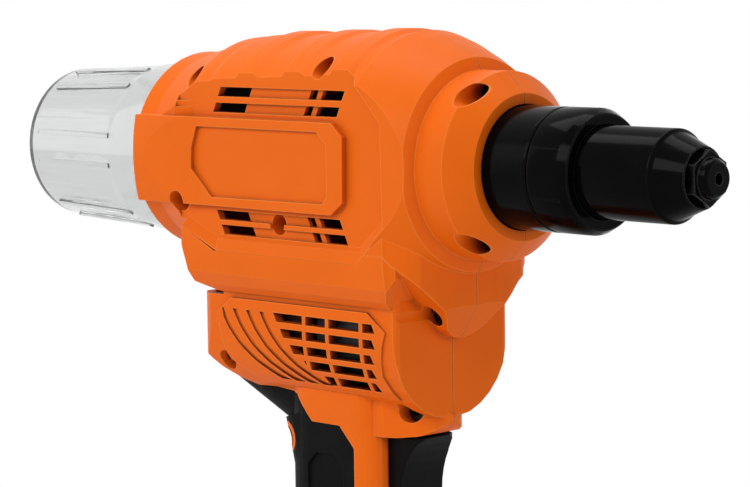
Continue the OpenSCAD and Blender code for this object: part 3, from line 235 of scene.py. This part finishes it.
def screw_nodes():
    """Node tree that stands a socket screw on every point of a mesh, its shank as long as the point says."""
    tree = bpy.data.node_groups.new("socket_screw", "GeometryNodeTree")
    tree.interface.new_socket("Seats", in_out="INPUT", socket_type="NodeSocketGeometry")
    for label in ("Head Radius", "Head Height", "Socket Radius", "Socket Depth", "Shank Radius"):
        tree.interface.new_socket(label, in_out="INPUT", socket_type="NodeSocketFloat")
    tree.interface.new_socket("Turn", in_out="INPUT", socket_type="NodeSocketVector")
    tree.interface.new_socket("Screws", in_out="OUTPUT", socket_type="NodeSocketGeometry")
    given = tree.nodes.new("NodeGroupInput")
    result = tree.nodes.new("NodeGroupOutput")

    def scaled(source, factor):
        times = node_of(tree, "ShaderNodeMath", operation="MULTIPLY")
        tree.links.new(source, times.inputs[0])
        times.inputs[1].default_value = factor
        return times.outputs["Value"]

    def bar(corners, radius, depth, lift):
        """Bar along Z, its middle at the lift."""
        made = node_of(tree, "GeometryNodeMeshCylinder", Vertices=corners)
        tree.links.new(radius, made.inputs["Radius"])
        tree.links.new(depth, made.inputs["Depth"])
        place = tree.nodes.new("ShaderNodeCombineXYZ")
        tree.links.new(lift, place.inputs["Z"])
        moved = tree.nodes.new("GeometryNodeTransform")
        tree.links.new(made.outputs["Mesh"], moved.inputs["Geometry"])
        tree.links.new(place.outputs["Vector"], moved.inputs["Translation"])
        return moved.outputs["Geometry"]

    head_height = given.outputs["Head Height"]
    head = bar(32, given.outputs["Head Radius"], head_height, scaled(head_height, 0.5))
    socket = bar(6, given.outputs["Socket Radius"], scaled(given.outputs["Socket Depth"], 2.0), head_height)
    cut = node_of(tree, "GeometryNodeMeshBoolean", operation="DIFFERENCE")
    tree.links.new(head, cut.inputs["Mesh 1"])
    tree.links.new(socket, cut.inputs["Mesh 2"])

    # The shank is one metre long here, and each point scales it to its own length
    metre = tree.nodes.new("ShaderNodeValue").outputs["Value"]
    metre.default_value = 1.0
    shank = bar(24, given.outputs["Shank Radius"], metre, scaled(metre, -0.5))
    length = node_of(tree, "GeometryNodeInputNamedAttribute", data_type="FLOAT", Name="shank_length")
    stretch = node_of(tree, "ShaderNodeCombineXYZ", X=1.0, Y=1.0)
    tree.links.new(length.outputs["Attribute"], stretch.inputs["Z"])

    whole = tree.nodes.new("GeometryNodeJoinGeometry")
    for form in (cut.outputs["Mesh"], shank):
        stand = tree.nodes.new("GeometryNodeInstanceOnPoints")
        tree.links.new(given.outputs["Seats"], stand.inputs["Points"])
        tree.links.new(form, stand.inputs["Instance"])
        tree.links.new(given.outputs["Turn"], stand.inputs["Rotation"])
        if form == shank:
            tree.links.new(stretch.outputs["Vector"], stand.inputs["Scale"])
        tree.links.new(stand.outputs["Instances"], whole.inputs["Geometry"])
    real = tree.nodes.new("GeometryNodeRealizeInstances")
    tree.links.new(whole.outputs["Geometry"], real.inputs["Geometry"])
    finish = node_of(tree, "GeometryNodeSetMaterial", Material=blackened_steel)
    tree.links.new(real.outputs["Geometry"], finish.inputs["Geometry"])
    tree.links.new(finish.outputs["Geometry"], result.inputs["Screws"])
    return tree


socket_screw = screw_nodes()


def screw_set(node, seats, lengths, sizes):
    """Screws of one CAD node, standing in for it as a plain mesh."""
    points = bpy.data.meshes.new(node + "_seats")
    points.from_pydata([Vector(seat) for seat in seats], [], [])
    points.attributes.new("shank_length", "FLOAT", "POINT").data.foreach_set("value", lengths)
    holder = bpy.data.objects.new(node + "_seats", points)
    bpy.context.scene.collection.objects.link(holder)
    made = holder.modifiers.new("screws", "NODES")
    made.node_group = socket_screw
    for item in socket_screw.interface.items_tree:
        if item.in_out == "INPUT" and item.name in sizes:
            made[item.identifier] = sizes[item.name]
    finished = holder.evaluated_get(bpy.context.evaluated_depsgraph_get())
    mesh = bpy.data.meshes.new_from_object(finished)
    holder.modifiers.remove(made)
    bpy.data.objects.remove(holder)
    piece = bpy.data.objects.new(node + "_detail", mesh)
    bpy.context.scene.collection.objects.link(piece)
    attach(piece, nodes[node]["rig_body"])
    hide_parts(node)


# Station and height of each well from the nose axis, then how far the head's seat and the shank's end lie
# from the middle plane, in mm
wells = [(-7, 21.9, 5, 6), (-7, -21.9, 5, 6), (-59, 29.2, 7, 15), (-120, 25.4, 7, 15),
         (-123.4, -14.3, 7, 15), (-78.3, -19.6, 7, 15), (-28, -45.5, 5, 6), (-39, -76.3, 5, 6),
         (-111, -65.6, 7, 12), (-90, -89, 7, 11), (-98, -164.5, 7, 15), (-32, -166, 7, 15)]
nose_x, nose_z = 0.057, 0.240
screw_set("housing_screws",
          seats=[(nose_x + x / 1000, -seat / 1000, nose_z + z / 1000) for x, z, seat, end in wells],
          lengths=[(seat + end) / 1000 for x, z, seat, end in wells],
          sizes={"Head Radius": 0.003, "Head Height": 0.0026, "Socket Radius": 0.0015,
                 "Socket Depth": 0.0016, "Shank Radius": 0.00195, "Turn": (math.pi / 2, 0.0, 0.0)})
battery_half_length, battery_half_width, battery_seat, battery_shank = 0.0545, 0.028, 0.00398, 0.0467
battery_seats = [(x, y, battery_seat) for x in (-battery_half_length, battery_half_length)
                 for y in (-battery_half_width, battery_half_width)]
screw_set("battery_screws", seats=battery_seats, lengths=[battery_shank] * len(battery_seats),
          sizes={"Head Radius": 0.0025, "Head Height": 0.00258, "Socket Radius": 0.0013,
                 "Socket Depth": 0.0012, "Shank Radius": 0.0015, "Turn": (math.pi, 0.0, 0.0)})

# Nose: adapter, lock ring, sleeve and nosepiece, turned from steel and finished in gloss black.
# The adapter screws into the gear case cover, the ring holds the sleeve, and the nosepiece screws into that.
# Their turned edges are broken, and carry a thin painted highlight.


def dressed_copy(name, mat, edge_radius):
    """Welded copy of a CAD node with softened edges, standing in for the node."""
    corner = math.radians(30.0)
    shape = bmesh.new()
    shape.from_mesh(nodes[name].data)
    bmesh.ops.remove_doubles(shape, verts=shape.verts, dist=2e-6)
    bmesh.ops.dissolve_limit(shape, angle_limit=math.radians(0.6), verts=shape.verts, edges=shape.edges)
    mesh = bpy.data.meshes.new(name + "_skin")
    shape.to_mesh(mesh)
    shape.free()
    for face in mesh.polygons:
        face.use_smooth = True
    mesh.set_sharp_from_angle(angle=corner)
    mesh.materials.clear()
    mesh.materials.append(mat)
    piece = bpy.data.objects.new(name + "_skin", mesh)
    bpy.context.scene.collection.objects.link(piece)
    soft = piece.modifiers.new("edge_radius", "BEVEL")
    soft.width = edge_radius
    soft.segments = 2
    soft.limit_method = "ANGLE"
    soft.angle_limit = corner
    soft.use_clamp_overlap = True
    soft.harden_normals = False
    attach(piece, nodes[name]["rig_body"])
    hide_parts(name)
    return piece


def black_finish():
    mat, tree, shader = new_material("black_finish")
    cloud = grain(tree, scale=120.0)
    turned = grain(tree, scale=700.0, stretch=(4.0, 0.2, 0.2))
    dark = tint(tree, cloud, dark=(0.0010, 0.0010, 0.0011), light=(0.0020, 0.0020, 0.0021))
    # painted highlight: grey laid along the turned edges
    highlighted = over(tree, painted_edge_highlight(tree, radius=0.0005), dark, colour=(0.10, 0.10, 0.10))
    tree.links.new(highlighted, shader.inputs["Base Color"])
    tree.links.new(ramp(tree, turned, low=0.10, high=0.17), shader.inputs["Roughness"])
    shader.inputs["Specular IOR Level"].default_value = 0.035
    raise_grain(tree, shader, turned, strength=0.05, depth=0.0001, rounding=0.0004)
    return mat


nose_black = black_finish()
for name in ("nose_adapter", "lock_ring", "tip_sleeve", "nosepiece"):
    dressed_copy(name, nose_black, edge_radius=0.0003)

# Collector: clear cup for spent mandrels, moulded in one piece with raised ribs to grip it by.
# It is pushed into the collar at the housing's rear, on a rubber ring that holds it.


def clear_plastic():
    mat, tree, shader = new_material("clear_plastic")
    cloud = grain(tree, scale=60.0)
    tree.links.new(ramp(tree, cloud, low=0.05, high=0.13), shader.inputs["Roughness"])
    shader.inputs["Base Color"].default_value = (0.80, 0.81, 0.81, 1.0)
    shader.inputs["Transmission Weight"].default_value = 0.96
    shader.inputs["IOR"].default_value = 1.46
    raise_grain(tree, shader, cloud, strength=0.1, depth=0.0004)
    return mat


dressed_copy("collector", clear_plastic(), edge_radius=0.0004)

# Grip covers and the collector's seal: soft black rubber with a fine matt grain.
# The covers are moulded over the housing halves in a second shot; the seal is a plain ring in its groove.


def soft_rubber():
    mat, tree, shader = new_material("soft_rubber")
    fine = grain(tree, scale=3200.0)
    dust = grain(tree, scale=90.0, detail=4.0)
    dusty = tint(tree, dust, dark=(0.002, 0.002, 0.002), light=(0.004, 0.004, 0.0039))
    tree.links.new(dusty, shader.inputs["Base Color"])
    tree.links.new(ramp(tree, fine, low=0.5, high=0.7), shader.inputs["Roughness"])
    shader.inputs["Specular IOR Level"].default_value = 0.06
    raise_grain(tree, shader, fine, strength=0.3, depth=0.0002, rounding=0.0008)
    return mat


wear(["right_grip_cover", "left_grip_cover", "collector_seal"], soft_rubber())

# Trigger, switch, terminals, fan and battery cases: moulded in black nylon with a light spark texture.
# Trigger and switch sit between the housing halves; the battery's two cases are screwed together and slide
# on the rails of the foot, with the release button in their front.


def moulded_black():
    mat, tree, shader = new_material("moulded_black")
    spark = grain(tree, scale=2200.0, detail=4.0)
    cloud = grain(tree, scale=50.0)
    black = tint(tree, cloud, dark=(0.002, 0.002, 0.0021), light=(0.004, 0.004, 0.0041))
    tree.links.new(black, shader.inputs["Base Color"])
    tree.links.new(ramp(tree, spark, low=0.36, high=0.52), shader.inputs["Roughness"])
    shader.inputs["Specular IOR Level"].default_value = 0.07
    raise_grain(tree, shader, spark, strength=0.25, depth=0.00015, rounding=0.0007)
    return mat


wear(["trigger", "battery_lower_case", "battery_upper_case", "release_button", "switch_module",
      "terminal_block", "motor_fan"], moulded_black())

# Studio: pale paper floor that fades to white away from the tool, a white surround and four soft lamps.
# The camera stands where the photograph was taken from, found from the round edges of nose, flange and cup.
white = (1.0, 1.0, 1.0, 1.0)


def seen_directly(tree):
    """1 for a ray from the camera, through clear plastic or off a shiny surface, and 0 for the rest."""
    path = tree.nodes.new("ShaderNodeLightPath")
    seen = path.outputs["Is Camera Ray"]
    for kind in ("Is Transmission Ray", "Is Glossy Ray"):
        either = node_of(tree, "ShaderNodeMath", operation="MAXIMUM")
        tree.links.new(seen, either.inputs[0])
        tree.links.new(path.outputs[kind], either.inputs[1])
        seen = either.outputs["Value"]
    return seen


def fading_paper():
    mat, tree, shader = new_material("paper")
    shader.inputs["Roughness"].default_value = 0.9
    fibre = grain(tree, scale=80.0)
    pale = tint(tree, fibre, dark=(0.88, 0.88, 0.88), light=(0.9, 0.9, 0.9))
    tree.links.new(pale, shader.inputs["Base Color"])
    place = tree.nodes.new("ShaderNodeTexCoord")
    away = node_of(tree, "ShaderNodeVectorMath", operation="LENGTH")
    tree.links.new(place.outputs["Object"], away.inputs[0])
    fade = node_of(tree, "ShaderNodeMath", operation="MULTIPLY")
    tree.links.new(ramp(tree, away.outputs["Value"], low=0.0, high=1.0, start=0.3, end=0.6), fade.inputs[0])
    tree.links.new(seen_directly(tree), fade.inputs[1])
    glow = node_of(tree, "ShaderNodeEmission", Color=white, Strength=1.0)
    blend = tree.nodes.new("ShaderNodeMixShader")
    tree.links.new(fade.outputs["Value"], blend.inputs["Fac"])
    tree.links.new(shader.outputs["BSDF"], blend.inputs[1])
    tree.links.new(glow.outputs["Emission"], blend.inputs[2])
    tree.links.new(blend.outputs["Shader"], tree.nodes["Material Output"].inputs["Surface"])
    return mat


reach = 6.0
floor_mesh = bpy.data.meshes.new("floor")
floor_mesh.from_pydata([(-reach, -reach, 0), (reach, -reach, 0), (reach, reach, 0), (-reach, reach, 0)], [],
                       [(0, 1, 2, 3)])
floor_mesh.materials.append(fading_paper())
floor = bpy.data.objects.new("floor", floor_mesh)
bpy.context.scene.collection.objects.link(floor)

world = bpy.data.worlds.new("studio")
bpy.context.scene.world = world
world.use_nodes = True
sky = world.node_tree
surround = sky.nodes["Background"]
surround.inputs["Color"].default_value = white
light_level = ramp(sky, seen_directly(sky), low=0.3, high=1.0, start=0.0, end=1.0)
sky.links.new(light_level, surround.inputs["Strength"])


middle = Vector((0.0, 0.0, 0.2))


def lamp(name, place, size, power):
    """Soft rectangular lamp, turned to the middle of the tool."""
    light = bpy.data.lights.new(name, "AREA")
    light.shape = "RECTANGLE"
    light.size, light.size_y = size
    light.energy = power
    made = bpy.data.objects.new(name, light)
    made.location = place
    made.rotation_euler = (middle - Vector(place)).to_track_quat("-Z", "Y").to_euler()
    bpy.context.scene.collection.objects.link(made)


lamp("key", place=(0.15, -1.1, 0.95), size=(0.8, 0.6), power=7.8)
lamp("top", place=(-0.1, 0.1, 1.2), size=(0.9, 0.5), power=5.6)
lamp("fill", place=(-0.9, -0.6, 0.5), size=(0.6, 0.8), power=1.5)
lamp("front", place=(1.2, 0.1, 0.35), size=(0.4, 0.9), power=2.0)

azimuth = 0.804537
elevation = 0.102229
roll = -0.013217
camera_place = (0.6007, -0.5853, 0.2998)
back = Vector((math.sin(azimuth) * math.cos(elevation), -math.cos(azimuth) * math.cos(elevation),
               math.sin(elevation)))
right = Vector((math.cos(azimuth), math.sin(azimuth), 0.0))
up = back.cross(right)
across = math.cos(roll) * right + math.sin(roll) * up
above = -math.sin(roll) * right + math.cos(roll) * up
lens = bpy.data.cameras.new("camera")
lens.sensor_fit = "HORIZONTAL"
lens.sensor_width = 36.0
lens.lens = 129.8
camera = bpy.data.objects.new("camera", lens)
camera.matrix_world = Matrix.Translation(camera_place) @ Matrix((across, above, back)).transposed().to_4x4()
bpy.context.scene.collection.objects.link(camera)
bpy.context.scene.camera = camera
bpy.context.scene.view_settings.view_transform = "Standard"
